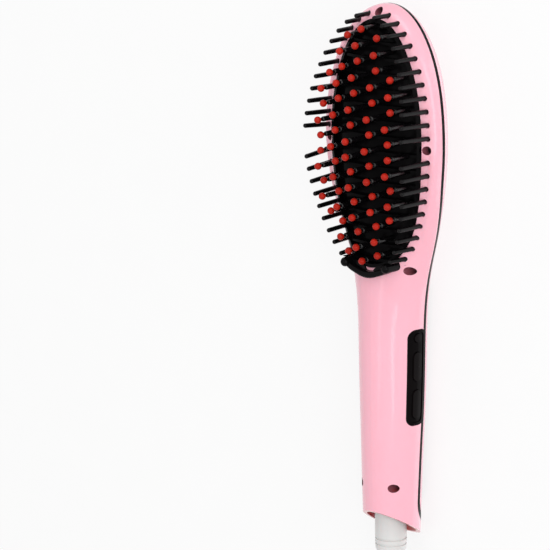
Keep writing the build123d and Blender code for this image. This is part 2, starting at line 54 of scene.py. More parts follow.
MM = 0.001
WHITE = (1.0, 1.0, 1.0, 1.0)
PIN_COLUMNS = ("centre", "inner_left", "inner_right", "outer_left", "outer_right")

# ---- Places and forms, in mm --------------------------------------------------------------
AXIS_Z = 18.0  # height of the cord swivel's axis
HEAD_X = 87.5  # widest section of the head
NOSE = 69.9  # from there to the end of the head
CREST_Z = 34.0  # height of the housing along its middle
BODY_ROWS = (  # along, half width, height of the widest line
    (6.0, 20.9, 14.7), (21.5, 24.3, 15.3), (37.0, 29.1, 16.6), (53.5, 33.8, 19.2),
    (70.5, 36.9, 20.9), (HEAD_X, 38.1, 21.6))
NOSE_LINE = (18.4, 3.2)  # height of the widest line at the head's end, and its rise from there
SHOULDER = (  # share of the half width, rise of the rim there
    (0.0, 0.0), (0.885, 0.0), (0.92, 0.65), (0.945, 1.15), (0.966, 1.6), (0.982, 1.8),
    (0.992, 1.75), (1.0, 1.6), (2.0, 1.6))
SHOULDER_START, SHOULDER_RUN = 26.0, 16.0  # where it begins, and how soon it is full

BED_HALF, BED_TAIL = 30.4, 67.5  # the opening's half width, and its reach towards the handle
BED_POWER = 2.45  # of its fuller outline; an ellipse has 2
BED_ZONE = (20.0, 80.0)  # where along the brush the outline is fuller
BED_BLEND = (2.5, 16.0)  # how soon it is full at the zone's two ends
RIM_EDGE = 1.5  # nothing slides this near the widest line

SCREWS = (  # along, across, height of the faces that meet
    (153.9, 0.0, 18.2), (85.0, 33.0, 20.4), (85.0, -33.0, 20.4), (19.3, 19.6, 14.4),
    (19.3, -19.6, 14.4), (-99.5, 10.8, 15.0), (-99.5, -10.8, 15.0))
SCREW_SEAT = 2.4  # from those faces up to the underside of a head
WELL_MARGIN = 3.6  # the housing keeps its form this near the middle of a well
WELL_SHADE_RADII = (2.27, 2.34)  # radii over which the painted shade down a well ends
SCREW_HEAD, SCREW_ROUNDING = 1.8, 0.5  # height of a head, and of its rounded edge
SHANK_RADIUS, SHANK_LENGTH, POINT_LENGTH = 1.28, 6.2, 0.7
RECESS_WIDTH, RECESS_HEIGHT, RECESS_Z = 2.5, 1.6, 1.75  # the blocks that cut it, and their middle

TOOTH_HALF, TOOTH_TAIL, TOOTH_HEAD = 33.7, 70.8, 66.3  # half width and both reaches of the line
TOOTH_ROWS = ((TOOTH_HEAD, 1, 3.6, 11), (TOOTH_TAIL, -1, 9.0, 9))  # reach, way, first, count
TOOTH_PITCH = 7.0
TOOTH_BASE_Z = 21.0
TOOTH_LEAN = math.radians(3.0)  # towards the middle
TOOTH_NEAR = 1.32  # a point farther than this from a tooth's middle is on the strip's wall
TOOTH_FOOT = 2.5  # a tooth keeps its moulded form up to this height over its base
TOOTH_STOUT, TOOTH_FULL = 14.0, 24.5  # rises over which it grows stouter, and leans and reaches
TOOTH_FAN = {  # way and side: lean of the first tooth's tip along the brush, less for each next
    (1, 1): (2.5, 0.42), (1, -1): (1.3, 0.20), (-1, 1): (1.4, 0.20), (-1, -1): (0.0, 0.0)}
ROOT_SHIFT, ROOT_X, ROOT_RUN = 2.3, 25.0, 12.0  # how far the tooth line bulges, where, how long

POST = (23.1, 14.0, 2.4)  # the strip's own post: along, across, radius with clearance
POST_MIDDLE, POST_HEIGHT, POST_SIDES = 30.4, 16.0, 28
DOME_STEPS, DOME_ANGLE, DOME_SHARE = 5, 16.0, 0.9  # steps, degrees each, height to radius
STRIP_WALL = (24.6, 16.3, 0.024)  # along, across, half thickness as a share of the tooth line
STRIP_WALL_CUT = (26.5, 16.5, 0.05)  # the same with clearance
WALL_MIDDLE, WALL_HEIGHT, WALL_ROUNDING = 30.2, 16.4, 1.1
WALL_SLICES, WALL_SLICE = 11, 1.15  # cuts to each side of the middle, and their pitch
WALL_LEDGE = (34.7, 35.1)  # heights between which the wall steps out to its ledge
LEDGE_DEPTH = 2.2
WALL_DRAW = 1.3  # how far the wall's ends are drawn back

BALL_RADIUS = 2.2  # of the frame's own ball tips
PIN_ROOT_Z, PIN_ROOT_RADIUS = -20.0, 1.5  # heights of a pin are from its ball's centre
PIN_SHOULDER = ((-4.35, 1.0), (-4.05, 0.985), (-3.8, 0.92), (-3.62, 0.8))  # height, radius share
PIN_NECK = ((-3.55, 0.92), (-3.3, 0.84), (-1.4, 0.84))  # height, radius
PIN_SUNK = 0.6  # a pin starts this far over its node's lowest point

# ---- Painted shade inside the housing -----------------------------------------------------
# painted shade down the screw wells
WELL_SHADE_COLOUR = (0.24, 0.07, 0.09)
# painted shade inside the hollow of the handle's cut end
HOLLOW_SHADE_COLOUR = (0.56, 0.055, 0.045)
# painted shade on the cut face of the handle's end, where the lamps would light it
CUT_FACE_SHADE_COLOUR = (0.74, 0.22, 0.23)

INNER_FINISHES = (  # name, colour, roughness, grain, its depth, other values, nodes
    ("Circuit Board", (0.015, 0.10, 0.035), 0.35, 500.0, 0.00006, {"coat": 0.3, "vary": 0.5},
     ("main_board", "key_board")),
    ("Component Plastic", (0.018, 0.018, 0.02), 0.45, 2400.0, 0.00002, {"vary": 0.3},
     ("key_switches", "display_module", "power_supply", "triac", "microcontroller", "thermistor")),
    ("Zinc Steel", (0.46, 0.46, 0.47), 0.30, 1600.0, 0.000008, {"metallic": 1.0, "vary": 0.15},
     ("plate_screws", "board_screws", "housing_screws")),
    ("Bare Aluminium", (0.62, 0.62, 0.63), 0.38, 900.0, 0.00001, {"metallic": 1.0, "vary": 0.12},
     ("heater_clamp", "thermal_fuse")),
    ("Mica Sheet", (0.55, 0.50, 0.38), 0.45, 160.0, 0.00003, {"coat": 0.4, "vary": 0.3},
     ("mica_sheet",)),
    ("Heater Ceramic", (0.48, 0.46, 0.42), 0.6, 1200.0, 0.00003, {"vary": 0.15},
     ("heater_element",)),
    ("Contact Brass", (0.62, 0.42, 0.13), 0.28, 1500.0, 0.000008, {"metallic": 1.0, "vary": 0.15},
     ("slip_rings", "brush_contacts")),
    ("Inner White Plastic", (0.72, 0.72, 0.71), 0.42, 2000.0, 0.00001, {"vary": 0.04},
     ("swivel_socket", "swivel_retainer")),
    ("Capacitor Sleeve", (0.02, 0.03, 0.07), 0.25, 800.0, 0.00001, {"coat": 0.3, "vary": 0.2},
     ("capacitor",)))

# ---- Studio, in metres --------------------------------------------------------------------
LIGHTS = (  # name, place, aim, size, setting of its power
    ("Key_Light", (0.3, -1.5, 0.95), (0.02, 0.0, 0.02), (1.4, 1.4), "key_power"),
    ("Top_Light", (0.2, 0.1, 1.9), (0.02, 0.0, 0.02), (1.3, 1.3), "top_power"),
    ("Head_Light", (1.5, -0.3, 0.7), (0.1, 0.0, 0.02), (1.0, 1.0), "head_power"),
    ("Low_Light", (0.0, -0.6, -1.3), (0.0, 0.0, 0.02), (1.6, 1.6), "low_power"),
    ("Glint_Light", (-0.42, -0.87, 1.5), (-0.02, 0.0, 0.03), (0.07, 1.0), "glint_power"))
CAMERA_LEAN, CAMERA_TILT, CAMERA_ROLL = 40.0, 12.78, -0.146  # degrees
CAMERA_AIM, CAMERA_REACH = (17.5, 0.0, 18.0), 1.828  # mm, and metres
PICTURE_WIDTH, CAMERA_FOCAL, CAMERA_OFFSET = 550.0, 3473.0, (115.22, 8.23)  # picture points
SENSOR_WIDTH = 36.0


# ---- Settings -----------------------------------------------------------------------------
class BrushFinishSettings(bpy.types.PropertyGroup):
    """Colours and surface finish of the brush."""
    housing_colour: bpy.props.FloatVectorProperty(
        name="Housing", description="Glossy moulded plastic of both housing halves",
        subtype="COLOR", size=3, min=0, max=1, default=(0.955, 0.462, 0.556))
    trim_colour: bpy.props.FloatVectorProperty(
        name="Trim", description="Glossy band and key panel", subtype="COLOR", size=3,
        min=0, max=1, default=(0.0035, 0.0026, 0.0028))
    comb_colour: bpy.props.FloatVectorProperty(
        name="Teeth", description="Satin plastic of the guard teeth and the bed", subtype="COLOR",
        size=3, min=0, max=1, default=(0.0032, 0.0027, 0.0032))
    tip_colour: bpy.props.FloatVectorProperty(
        name="Pin tips", description="Heat-proof ball tips of the pins", subtype="COLOR", size=3,
        min=0, max=1, default=(0.42, 0.014, 0.006))
    window_colour: bpy.props.FloatVectorProperty(
        name="Window", description="Tinted display window", subtype="COLOR", size=3,
        min=0, max=1, default=(0.016, 0.005, 0.014))
    sleeve_colour: bpy.props.FloatVectorProperty(
        name="Cord sleeve", description="White swivel sleeve", subtype="COLOR", size=3,
        min=0, max=1, default=(0.68, 0.67, 0.66))


class BrushDetailSettings(bpy.types.PropertyGroup):
    """Sizes of the small fittings."""
    screw_radius: bpy.props.FloatProperty(
        name="Screw head radius", description="Radius of a housing screw's head",
        subtype="DISTANCE", unit="LENGTH", default=2.1 * MM, min=1 * MM, max=4 * MM)
    screw_slot: bpy.props.FloatProperty(
        name="Cross recess width", description="Width of the slots of a screw's cross recess",
        subtype="DISTANCE", unit="LENGTH", default=0.5 * MM, min=0.2 * MM, max=1 * MM)
    pip_radius: bpy.props.FloatProperty(
        name="Key pip radius", description="Radius of the raised pip on the plus key",
        subtype="DISTANCE", unit="LENGTH", default=0.5 * MM, min=0.1 * MM, max=1 * MM)
    tip_radius: bpy.props.FloatProperty(
        name="Tip radius", description="Radius of a pin's ball tip", subtype="DISTANCE",
        unit="LENGTH", default=1.9 * MM, min=0.5 * MM, max=2.2 * MM)
    pin_radius: bpy.props.FloatProperty(
        name="Pin radius", description="Radius of a pin at its shoulder, under the tip",
        subtype="DISTANCE", unit="LENGTH", default=1.34 * MM, min=0.5 * MM, max=1.5 * MM)
    tooth_swell: bpy.props.FloatProperty(
        name="Tooth swell", description="How much thicker a guard tooth is at its tip",
        subtype="FACTOR", default=0.20, min=0.0, max=0.5)
    tooth_reach: bpy.props.FloatProperty(
        name="Tooth reach", description="How much taller a guard tooth stands", subtype="DISTANCE",
        unit="LENGTH", default=1.1 * MM, min=0.0, max=3 * MM)
    guard_thickness: bpy.props.FloatProperty(
        name="Guard thickness", description="Thickness of the guard wall", subtype="DISTANCE",
        unit="LENGTH", default=3.5 * MM, min=1 * MM, max=5 * MM)
    post_radius: bpy.props.FloatProperty(
        name="Guard post radius", description="Radius of the posts that end the guard wall",
        subtype="DISTANCE", unit="LENGTH", default=2.5 * MM, min=1 * MM, max=4 * MM)


class BrushStageSettings(bpy.types.PropertyGroup):
    """Studio round the brush."""
    key_power: bpy.props.FloatProperty(
        name="Key light", description="Power of the large soft light on the key side", unit="POWER",
        default=14.2, min=0.0, max=500.0)
    top_power: bpy.props.FloatProperty(
        name="Top light", description="Power of the soft light overhead", unit="POWER",
        default=4.6, min=0.0, max=500.0)
    head_power: bpy.props.FloatProperty(
        name="Head light", description="Power of the soft light beyond the head", unit="POWER",
        default=6.2, min=0.0, max=500.0)
    low_power: bpy.props.FloatProperty(
        name="Low light", description="Power of the soft light from under the table", unit="POWER",
        default=8.0, min=0.0, max=500.0)
    glint_power: bpy.props.FloatProperty(
        name="Glint light", description="Power of the small bright lamp", unit="POWER",
        default=0.7, min=0.0, max=50.0)
    sky: bpy.props.FloatProperty(
        name="Surroundings", description="Brightness of the surroundings that light the brush",
        default=0.62, min=0.0, max=2.0)


# ---- Node tools ---------------------------------------------------------------------------
def new_material(name):
    """An empty material and its node tree, output and Principled shader."""
    material = bpy.data.materials.new(name)
    material.use_nodes = True
    tree = material.node_tree
    tree.nodes.clear()
    output = tree.nodes.new("ShaderNodeOutputMaterial")
    shader = tree.nodes.new("ShaderNodeBsdfPrincipled")
    output.location, shader.location = (600, 0), (300, 0)
    tree.links.new(shader.outputs["BSDF"], output.inputs["Surface"])
    return material, tree, shader


def feed(tree, socket, value):
    """Links a socket to another one, or sets it to a number."""
    if isinstance(value, bpy.types.NodeSocket):
        tree.links.new(value, socket)
    else:
        socket.default_value = value


def calculated(tree, operation, first, second):
    """The result of a sum on two sockets or numbers."""
    node = tree.nodes.new("ShaderNodeMath")
    node.operation = operation
    feed(tree, node.inputs[0], first)
    feed(tree, node.inputs[1], second)
    return node.outputs["Value"]


def measured(tree, operation, vector, other=(0.0, 0.0, 0.0)):
    """The result of a vector sum on a socket and a fixed vector."""
    node = tree.nodes.new("ShaderNodeVectorMath")
    node.operation = operation
    node.inputs[1].default_value = other
    tree.links.new(vector, node.inputs[0])
    return node.outputs["Value" if operation in ("DISTANCE", "LENGTH") else "Vector"]


def object_pattern(tree, scale=(1.0, 1.0, 1.0)):
    """Object coordinates through a mapping."""
    where = tree.nodes.new("ShaderNodeTexCoord")
    mapping = tree.nodes.new("ShaderNodeMapping")
    mapping.inputs["Scale"].default_value = scale
    tree.links.new(where.outputs["Object"], mapping.inputs["Vector"])
    where.location, mapping.location = (-1100, 0), (-900, 0)
    return mapping.outputs["Vector"]


def along_of(tree, vector):
    """The part of a vector that runs along the brush."""
    node = tree.nodes.new("ShaderNodeSeparateXYZ")
    tree.links.new(vector, node.inputs["Vector"])
    return node.outputs["X"]


def noise(tree, vector, scale, detail=2.0, roughness=0.5):
    """Cloudy values round a half."""
    node = tree.nodes.new("ShaderNodeTexNoise")
    node.inputs["Scale"].default_value = scale
    node.inputs["Detail"].default_value = detail
    node.inputs["Roughness"].default_value = roughness
    tree.links.new(vector, node.inputs["Vector"])
    return node.outputs["Fac"]


def spread(tree, value, low, high, start=0.3, end=0.7):
    """A value carried from start..end to low..high."""
    node = tree.nodes.new("ShaderNodeMapRange")
    node.inputs["From Min"].default_value = start
    node.inputs["From Max"].default_value = end
    node.inputs["To Min"].default_value = low
    node.inputs["To Max"].default_value = high
    tree.links.new(value, node.inputs["Value"])
    return node.outputs["Result"]


def blended(tree, share, first, second):
    """A colour between two by a share from 0 to 1; the first is a colour or a socket."""
    node = tree.nodes.new("ShaderNodeMix")
    node.data_type = "RGBA"
    feed(tree, node.inputs["A"], first if isinstance(first, bpy.types.NodeSocket) else (*first, 1.0))
    node.inputs["B"].default_value = (*second, 1.0)
    tree.links.new(share, node.inputs["Factor"])
    return node.outputs["Result"]


def mixed(tree, share, first, second):
    """Two shaders mixed by a share."""
    node = tree.nodes.new("ShaderNodeMixShader")
    feed(tree, node.inputs[0], share)
    tree.links.new(first, node.inputs[1])
    tree.links.new(second, node.inputs[2])
    return node.outputs["Shader"]


def relief(tree, shader, height, distance, strength=1.0):
    """Bump on the shader from a height, on top of what bump it has."""
    node = tree.nodes.new("ShaderNodeBump")
    node.inputs["Distance"].default_value = distance
    node.inputs["Strength"].default_value = strength
    tree.links.new(height, node.inputs["Height"])
    for link in shader.inputs["Normal"].links:
        tree.links.new(link.from_socket, node.inputs["Normal"])
    tree.links.new(node.outputs["Normal"], shader.inputs["Normal"])


def shaded(colour, factor):
    """A colour made darker or lighter."""
    return tuple(max(0.0, min(1.0, c * factor)) for c in colour)


def moulded(name, colour, rough, grain, depth, coat=0.0, scatter=0.0, vary=0.05, metallic=0.0,
            specular=0.5):
    """Moulded plastic or coated metal: faint cloudy tone, uneven gloss and a fine skin grain."""
    material, tree, shader = new_material(name)
    where = object_pattern(tree)
    cloud = spread(tree, noise(tree, where, 38.0, detail=3.0), 0.0, 1.0)
    tone = blended(tree, cloud, shaded(colour, 1 - vary), shaded(colour, 1 + vary))
    tree.links.new(tone, shader.inputs["Base Color"])
    smear = noise(tree, where, 120.0, detail=4.0, roughness=0.6)
    tree.links.new(spread(tree, smear, rough * 0.85, rough * 1.2), shader.inputs["Roughness"])
    relief(tree, shader, noise(tree, where, grain, detail=2.0), depth)
    shader.inputs["Metallic"].default_value = metallic
    shader.inputs["Specular IOR Level"].default_value = specular
    shader.inputs["Coat Weight"].default_value = coat
    shader.inputs["Coat Roughness"].default_value = 0.06
    if scatter:
        shader.inputs["Subsurface Weight"].default_value = scatter
        shader.inputs["Subsurface Radius"].default_value = (1.0, 0.35, 0.3)
        shader.inputs["Subsurface Scale"].default_value = 0.0012
    return material


def shader_of(material):
    """The Principled shader of a material."""
    return next(node for node in material.node_tree.nodes if node.type == "BSDF_PRINCIPLED")


def dress(node, material):
    """Gives a frame node this material in all its slots."""
    mesh = NODES[node].data
    if not mesh.materials:
        mesh.materials.append(material)
    for index in range(len(mesh.materials)):
        mesh.materials[index] = material


# ---- Modelling tools ----------------------------------------------------------------------
def clear_selection():
    """Back to object mode with nothing selected."""
    if bpy.context.object and bpy.context.object.mode != "OBJECT":
        bpy.ops.object.mode_set(mode="OBJECT")
    bpy.ops.object.select_all(action="DESELECT")


def take(obj):
    """Selects one object alone."""
    clear_selection()
    obj.select_set(True)
    bpy.context.view_layer.objects.active = obj


def edit_all(kind="VERT"):
    """Into edit mode with the whole mesh selected."""
    bpy.ops.object.mode_set(mode="EDIT")
    bpy.ops.mesh.select_mode(type=kind)
    bpy.ops.mesh.select_all(action="SELECT")


def edit_some(parts, kind, wanted):
    """Into edit mode with the wanted vertices, edges or faces selected."""
    bpy.ops.object.mode_set(mode="EDIT")
    bpy.ops.mesh.select_mode(type=kind)
    bpy.ops.mesh.select_all(action="DESELECT")
    bpy.ops.object.mode_set(mode="OBJECT")
    for part in parts:
        part.select = wanted(part)
    bpy.ops.object.mode_set(mode="EDIT")


def finish_edit(angle):
    """Out of edit mode, shaded smooth up to an angle in degrees, with its place in the mesh."""
    bpy.ops.object.mode_set(mode="OBJECT")
    bpy.ops.object.transform_apply(location=True)
    bpy.ops.object.shade_smooth_by_angle(angle=math.radians(angle))
    return bpy.context.object


def settle(obj, name, material, body, replaced=()):
    """Applies a finished piece's place to its mesh, names it and rides it on its body."""
    take(obj)
    bpy.ops.object.transform_apply(location=True, rotation=True, scale=True)
    obj.name = obj.data.name = name
    obj.data.materials.clear()
    obj.data.materials.append(material)
    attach(obj, body)
    if replaced:
        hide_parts(*replaced)
    return obj


def joined(objects):
    """Several objects made one."""
    clear_selection()
    for obj in objects:
        obj.select_set(True)
    bpy.context.view_layer.objects.active = objects[0]
    if len(objects) > 1:
        bpy.ops.object.join()
    return bpy.context.view_layer.objects.active


def copied(obj, place):
    """A copy of a modelled piece with its own mesh, moved from the origin to a place."""
    twin = obj.copy()
    twin.data = obj.data.copy()
    twin.location = place
    bpy.context.scene.collection.objects.link(twin)
    return twin


def merged_copy(node, keep_normals=False):
    """A copy of a frame node's mesh with its loose triangles merged and its own normals dropped;
    they may stay with the corners as the attribute moulded_normal."""
    copy = bpy.data.objects.new(node + "_copy", NODES[node].data.copy())
    bpy.context.scene.collection.objects.link(copy)
    mesh = copy.data
    if keep_normals:
        normals = np.empty(len(mesh.loops) * 3, dtype=np.float32)
        mesh.corner_normals.foreach_get("vector", normals)
        kept = mesh.attributes.new("moulded_normal", "FLOAT_VECTOR", "CORNER")
        kept.data.foreach_set("vector", normals)
    take(copy)
    if mesh.has_custom_normals:
        bpy.ops.mesh.customdata_custom_splitnormals_clear()
    edit_all()
    bpy.ops.mesh.remove_doubles(threshold=1e-6)
    bpy.ops.object.mode_set(mode="OBJECT")
    return copy


# ---- The head's own form ------------------------------------------------------------------
def smooth(value):
    """A soft step from 0 to 1."""
    value = min(1.0, max(0.0, value))
    return value * value * (3.0 - 2.0 * value)


def level(value, knots):
    """The height of a broken line at a value."""
    for (start, low), (end, high) in zip(knots, knots[1:]):
        if value <= end:
            return low + (high - low) * (value - start) / (end - start) if end > start else high
    return knots[-1][1]


def body_row(x):
    """Half width and height of the widest line of the body, between the drawn sections."""
    for (start, half, part), (end, next_half, next_part) in zip(BODY_ROWS, BODY_ROWS[1:]):
        if x <= end:
            share = max(0.0, (x - start) / (end - start))
            return half + (next_half - half) * share, part + (next_part - part) * share
    low, rise = NOSE_LINE
    return BODY_ROWS[-1][1], low + rise * (1 - ((x - HEAD_X) / NOSE) ** 2)


def surface(x, across):
    """Height of the housing's face over a point of the plan."""
    half, part = body_row(x)
    return part + (CREST_Z - part) * math.sqrt(max(0.0, 1 - (across / half) ** 2))


def root_shift(x):
    """How far out the tooth line stands of its plain ellipse towards the handle."""
    return ROOT_SHIFT * math.exp(-((x - ROOT_X) / ROOT_RUN) ** 2)


def on_strip_wall(x, across, reach, width, share):
    """Whether a point is on the curved wall that the lower tooth strip has of its own."""
    line = math.hypot((HEAD_X - x) / TOOTH_TAIL, across / TOOTH_HALF)
    return x < reach and across < width and abs(line - 1.0) < share


def held(x, across):
    """Whether a point belongs to the seat of the strip's wall or to a screw well."""
    if math.hypot(x - POST[0], across - POST[1]) < POST[2]:
        return True
    if any(math.hypot(x - sx, across - abs(sy)) < WELL_MARGIN for sx, sy, _ in SCREWS):
        return True
    return on_strip_wall(x, across, *STRIP_WALL)


def fuller(x, y, z, low, fixed=False):
    """The head's own form: the bed's outline is fuller towards the handle, where it slides
    along the surface, and the rim has a fuller shoulder outside the teeth."""
    across, side = abs(y), (1.0 if y >= 0 else -1.0)
    half, part = body_row(x)
    start, end = BED_ZONE
    moved = across
    if start < x < end and not fixed and across < half - RIM_EDGE:
        turn = min(0.9995, (HEAD_X - x) / BED_TAIL)
        edge = BED_HALF * math.sqrt(1 - turn ** 2)
        bed = (0.35 + 0.5 * turn) * (BED_HALF * (1 - turn ** BED_POWER) ** (1 / BED_POWER) - edge)
        line = TOOTH_HALF * math.sqrt(1 - ((HEAD_X - x) / TOOTH_TAIL) ** 2)
        knots = ((0.0, 0.0), (edge, bed), (line, root_shift(x)), (half - RIM_EDGE, 0.0))
        ends = smooth((x - start) / BED_BLEND[0]) * smooth((end - x) / BED_BLEND[1])
        moved += level(across, knots) * ends
        z += (surface(x, moved) - surface(x, across)) * smooth((z - low) / 2.0)
    reach = math.hypot((x - HEAD_X) / NOSE, y / BODY_ROWS[-1][1]) if x > HEAD_X else across / half
    if reach > SHOULDER[1][0] and x > SHOULDER_START:
        above = min(1.0, max(0.0, (z - part - 0.9) / 1.2))
        z += level(reach, SHOULDER) * above * smooth((x - SHOULDER_START) / SHOULDER_RUN)
    return Vector((x, side * moved, z))


def change(point, axis, low, fixed, step=0.02):
    """How the head's own form moves as a point moves along an axis."""
    ahead, behind = list(point), list(point)
    ahead[axis] += step
    behind[axis] -= step
    return (fuller(*ahead, low, fixed) - fuller(*behind, low, fixed)) / (2 * step)


def reshape(piece, low):
    """Brings a copied piece to the head's own form above the height low, and turns its normals
    with it."""
    mesh = piece.data
    turns = {}
    for vertex in mesh.vertices:
        point = tuple(vertex.co / MM)
        if point[0] < BED_ZONE[0]:
            continue
        fixed = held(point[0], abs(point[1]))
        turn = Matrix([change(point, axis, low, fixed) for axis in range(3)])  # transposed
        if abs(turn.determinant()) > 0.05:
            turns[vertex.index] = turn.inverted()
        vertex.co = fuller(*point, low, fixed) * MM
    kept = mesh.attributes["moulded_normal"]
    normals = []
    for loop in mesh.loops:
        normal = Vector(kept.data[loop.index].vector)
        if loop.vertex_index in turns:
            normal = turns[loop.vertex_index] @ normal
        normals.append(normal.normalized())
    mesh.attributes.remove(kept)
    mesh.normals_split_custom_set(normals)


# ---- Finishes -----------------------------------------------------------------------------
class BRUSH_OT_shell_finish(bpy.types.Operator):
    """Glossy pale shells, black gloss trim and key panel, tinted display window"""
    bl_idname = "brush.shell_finish"
    bl_label = "Housing and Trim Finish"

    def execute(self, context):
        colours = context.scene.brush_finish
        housing, cover = (
            moulded(name, colours.housing_colour, 0.10, 900.0, 0.000003, coat=0.1, scatter=0.12,
                    vary=0.012) for name in ("Housing Plastic", "Cover Plastic"))
        # paints shade into the screw wells, the handle's hollow end and its cut face
        self.paint_shade_inside(housing)
        front = merged_copy("front_shell", keep_normals=True)
        reshape(front, 18.0)
        settle(front, "Front_Housing", housing, "housing", replaced=("front_shell",))
        self.crease(cover)
        dress("back_cover", cover)
        trim = moulded("Trim Gloss", colours.trim_colour, 0.10, 1400.0, 0.000003, vary=0.3,
                       specular=0.035)
        for node in ("trim_band", "key_panel"):
            dress(node, trim)
        window = moulded("Display Window", colours.window_colour, 0.035, 300.0, 0.000002, vary=0.2,
                         specular=0.10)
        dress("display_window", window)
        return {"FINISHED"}

    def crease(self, cover):
        """A shallow step round the middle of the head's back, which fades out at the neck."""
        tree = cover.node_tree
        plan = object_pattern(tree, scale=(1.0, 1.0, 0.0))
        centred = measured(tree, "SUBTRACT", plan, ((HEAD_X - 6.0) * MM, 0.0, 0.0))
        oval = measured(tree, "MULTIPLY", centred, (1 / 0.058, 1 / 0.030, 0.0))
        step = spread(tree, measured(tree, "LENGTH", oval), 1.0, 0.0, 0.94, 1.05)
        fade = spread(tree, along_of(tree, object_pattern(tree)), 0.0, 1.0, 0.050, 0.105)
        height = calculated(tree, "MULTIPLY", step, fade)
        relief(tree, shader_of(cover), height, 0.0006, strength=0.8)

    def paint_shade_inside(self, housing):
        """Painted shade: darker, redder colour down the screw wells, inside the handle's cut end and on
        its cut face.
        """
        tree = housing.node_tree
        shader = shader_of(housing)
        plan = object_pattern(tree, scale=(1.0, 1.0, 0.0))
        nearest, *others = [measured(tree, "DISTANCE", plan, (x * MM, y * MM, 0.0))
                            for x, y, _ in SCREWS]
        for gap in others:
            nearest = calculated(tree, "MINIMUM", nearest, gap)
        # painted shade down the screw wells, fading out at their walls
        well = spread(tree, nearest, 1.0, 0.0, WELL_SHADE_RADII[0] * MM, WELL_SHADE_RADII[1] * MM)
        section = object_pattern(tree, scale=(0.0, 1.0, 1.0))
        reach = measured(tree, "DISTANCE", section, (0.0, 0.0, AXIS_Z * MM))
        # painted shade inside the hollow of the handle's cut end, within this radius of the swivel axis
        inner = spread(tree, reach, 1.0, 0.0, 13.3 * MM, 14.2 * MM)
        tail = spread(tree, along_of(tree, object_pattern(tree)), 1.0, 0.0, -0.104, -0.100)
        facing = along_of(tree, tree.nodes.new("ShaderNodeTexCoord").outputs["Normal"])
        # painted shade on the cut face of the handle's end, the faces turned towards the tail
        end = spread(tree, facing, 1.0, 0.0, -0.45, -0.25)
        colour = shader.inputs["Base Color"].links[0].from_socket
        colour = blended(tree, well, colour, WELL_SHADE_COLOUR)
        colour = blended(tree, calculated(tree, "MULTIPLY", inner, tail), colour, HOLLOW_SHADE_COLOUR)
        colour = blended(tree, calculated(tree, "MULTIPLY", end, tail), colour, CUT_FACE_SHADE_COLOUR)
        tree.links.new(colour, shader.inputs["Base Color"])


class BRUSH_OT_bed_finish(bpy.types.Operator):
    """Satin bed frame and ceramic-coated heating plate"""
    bl_idname = "brush.bed_finish"
    bl_label = "Bed Finish"

    def execute(self, context):
        colour = context.scene.brush_finish.comb_colour
        satin = moulded("Bed Frame Plastic", shaded(colour, 0.9), 0.22, 2600.0, 0.00001, vary=0.25,
                        specular=0.04)
        coating = moulded("Ceramic Coating", shaded(colour, 0.7), 0.18, 3200.0, 0.00001, vary=0.35,
                          specular=0.025)
        for node, low, name, material, slot in (
                ("bed_frame", 18.0, "Bed_Frame", satin, "black_satin"),
                ("heating_plate", 28.0, "Heating_Plate", coating, "bed_black")):
            piece = merged_copy(node, keep_normals=True)
            reshape(piece, low)
            settle(piece, name, material, "housing", replaced=(node,))
        return {"FINISHED"}


class BRUSH_OT_key_finish(bpy.types.Operator):
    """Glossy keys"""
    bl_idname = "brush.key_finish"
    bl_label = "Key Finish"

    def execute(self, context):
        colour = shaded(context.scene.brush_finish.trim_colour, 1.6)
        key = moulded("Key Plastic", colour, 0.18, 1500.0, 0.000006, vary=0.3, specular=0.06)
        for node in ("power_button", "plus_button", "minus_button"):
            dress(node, key)
        return {"FINISHED"}


class BRUSH_OT_inner_finish(bpy.types.Operator):
    """Boards, heater, fasteners and contacts inside the housing"""
    bl_idname = "brush.inner_finish"
    bl_label = "Inner Parts Finish"

    def execute(self, context):
        for name, colour, rough, grain, depth, others, nodes in INNER_FINISHES:
            material = moulded(name, colour, rough, grain, depth, **others)
            for node in nodes:
                dress(node, material)
        return {"FINISHED"}


class BRUSH_OT_cord_sleeve(bpy.types.Operator):
    """White swivel sleeve of the cord"""
    bl_idname = "brush.cord_sleeve"
    bl_label = "Cord Sleeve"

    def execute(self, context):
        colour = context.scene.brush_finish.sleeve_colour
        sleeve = moulded("Sleeve Plastic", colour, 0.33, 1500.0, 0.00001, scatter=0.1, vary=0.02)
        dress("swivel_sleeve", sleeve)
        return {"FINISHED"}


